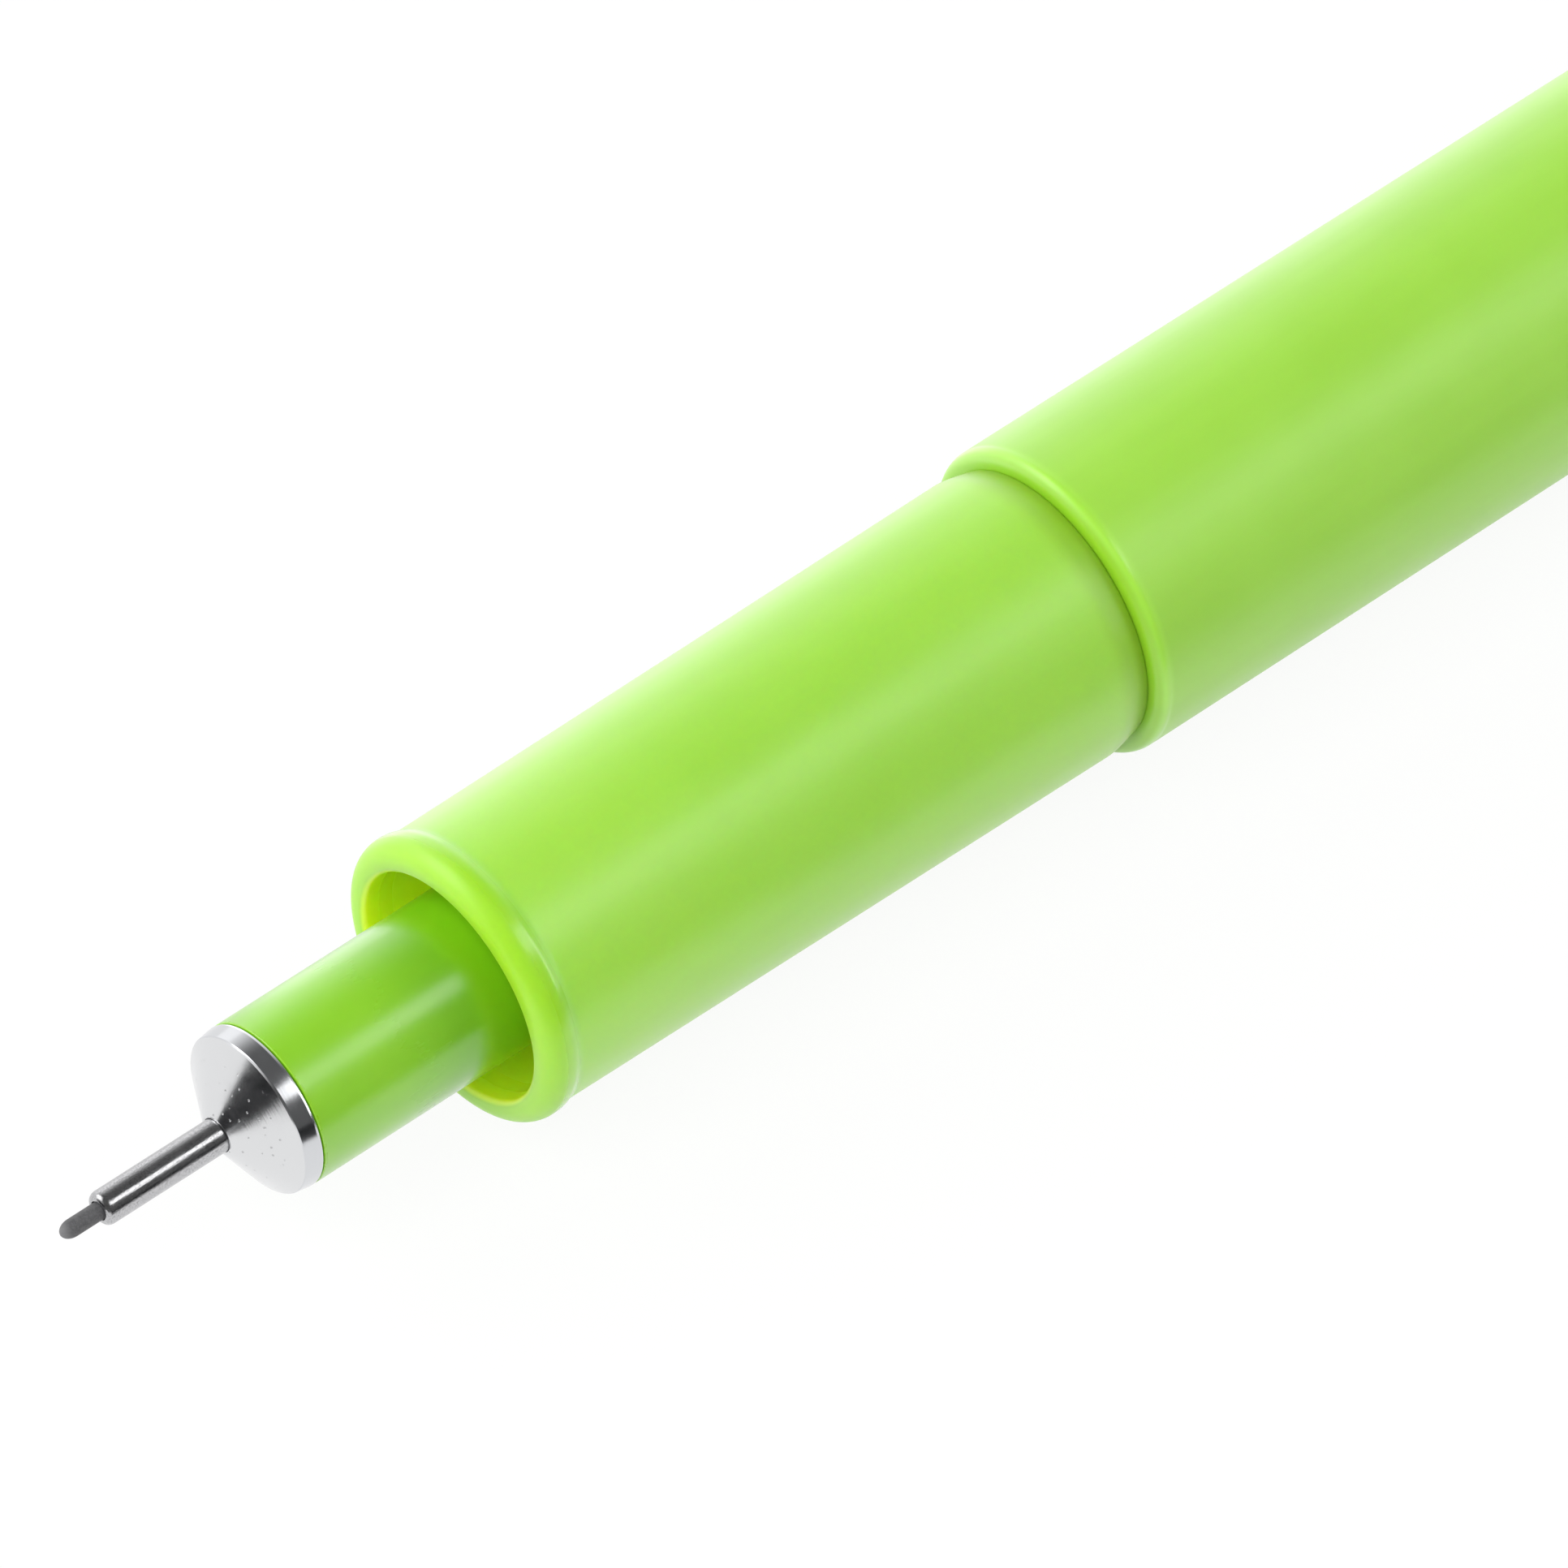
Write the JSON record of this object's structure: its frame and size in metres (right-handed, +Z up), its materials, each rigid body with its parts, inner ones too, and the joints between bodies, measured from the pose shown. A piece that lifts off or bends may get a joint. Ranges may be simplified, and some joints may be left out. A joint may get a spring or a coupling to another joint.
{
  "type": "permanent marker",
  "caption": "Fine-point permanent marker with a metal-clad nib, recessed grip section, barrel with ink reservoir, and a clip cap posted on the rear end.",
  "frame": {"origin": "middle of the bounding box of the pen with its cap posted, on the surface that the pen lies on", "axes": "+X along the pen from the nib to the cap, +Y across, +Z up from the surface"},
  "size_m": [0.1642, 0.0132, 0.0108],
  "materials": {
    "lime_plastic": "smooth satin moulding, slightly translucent",
    "nose_plastic": "polished moulding",
    "bright_metal": "polished, with fine turning marks",
    "nib_plastic": "dry ink on plastic",
    "natural_plastic": "natural moulding",
    "white_fibre": "bonded fibre",
    "ink_fibre": "bonded fibre soaked with ink",
    "clear_film": "thin film"
  },
  "bodies": {
    "pen": {"nib": "nib_plastic", "needle_tube": "bright_metal", "tip_cone": "bright_metal", "nib_sleeve": "natural_plastic", "nose_tube": "nose_plastic", "grip_section": "lime_plastic", "feed_wick": "white_fibre", "ink_reservoir": "ink_fibre", "reservoir_wrap": "clear_film", "barrel_tube": "lime_plastic", "end_plug": "lime_plastic"},
    "cap": {"cap_shell": "lime_plastic", "cap_inner_seal": "natural_plastic", "cap_crown": "lime_plastic"},
    "clip": {"cap_clip": "lime_plastic"}
  },
  "joints": [
    {"name": "cap_slide", "type": "slide", "parent": "pen", "child": "cap", "axis": [1, 0, 0], "range_m": [0, 0.02]},
    {"name": "clip_flex", "type": "hinge", "parent": "cap", "child": "clip", "pos_m": [0.0736, -0.00314, 0.00302], "axis": [0, -0.4773, 0.8788], "range_deg": [0, 4], "stiffness_Nm_per_rad": 1}
  ]
}
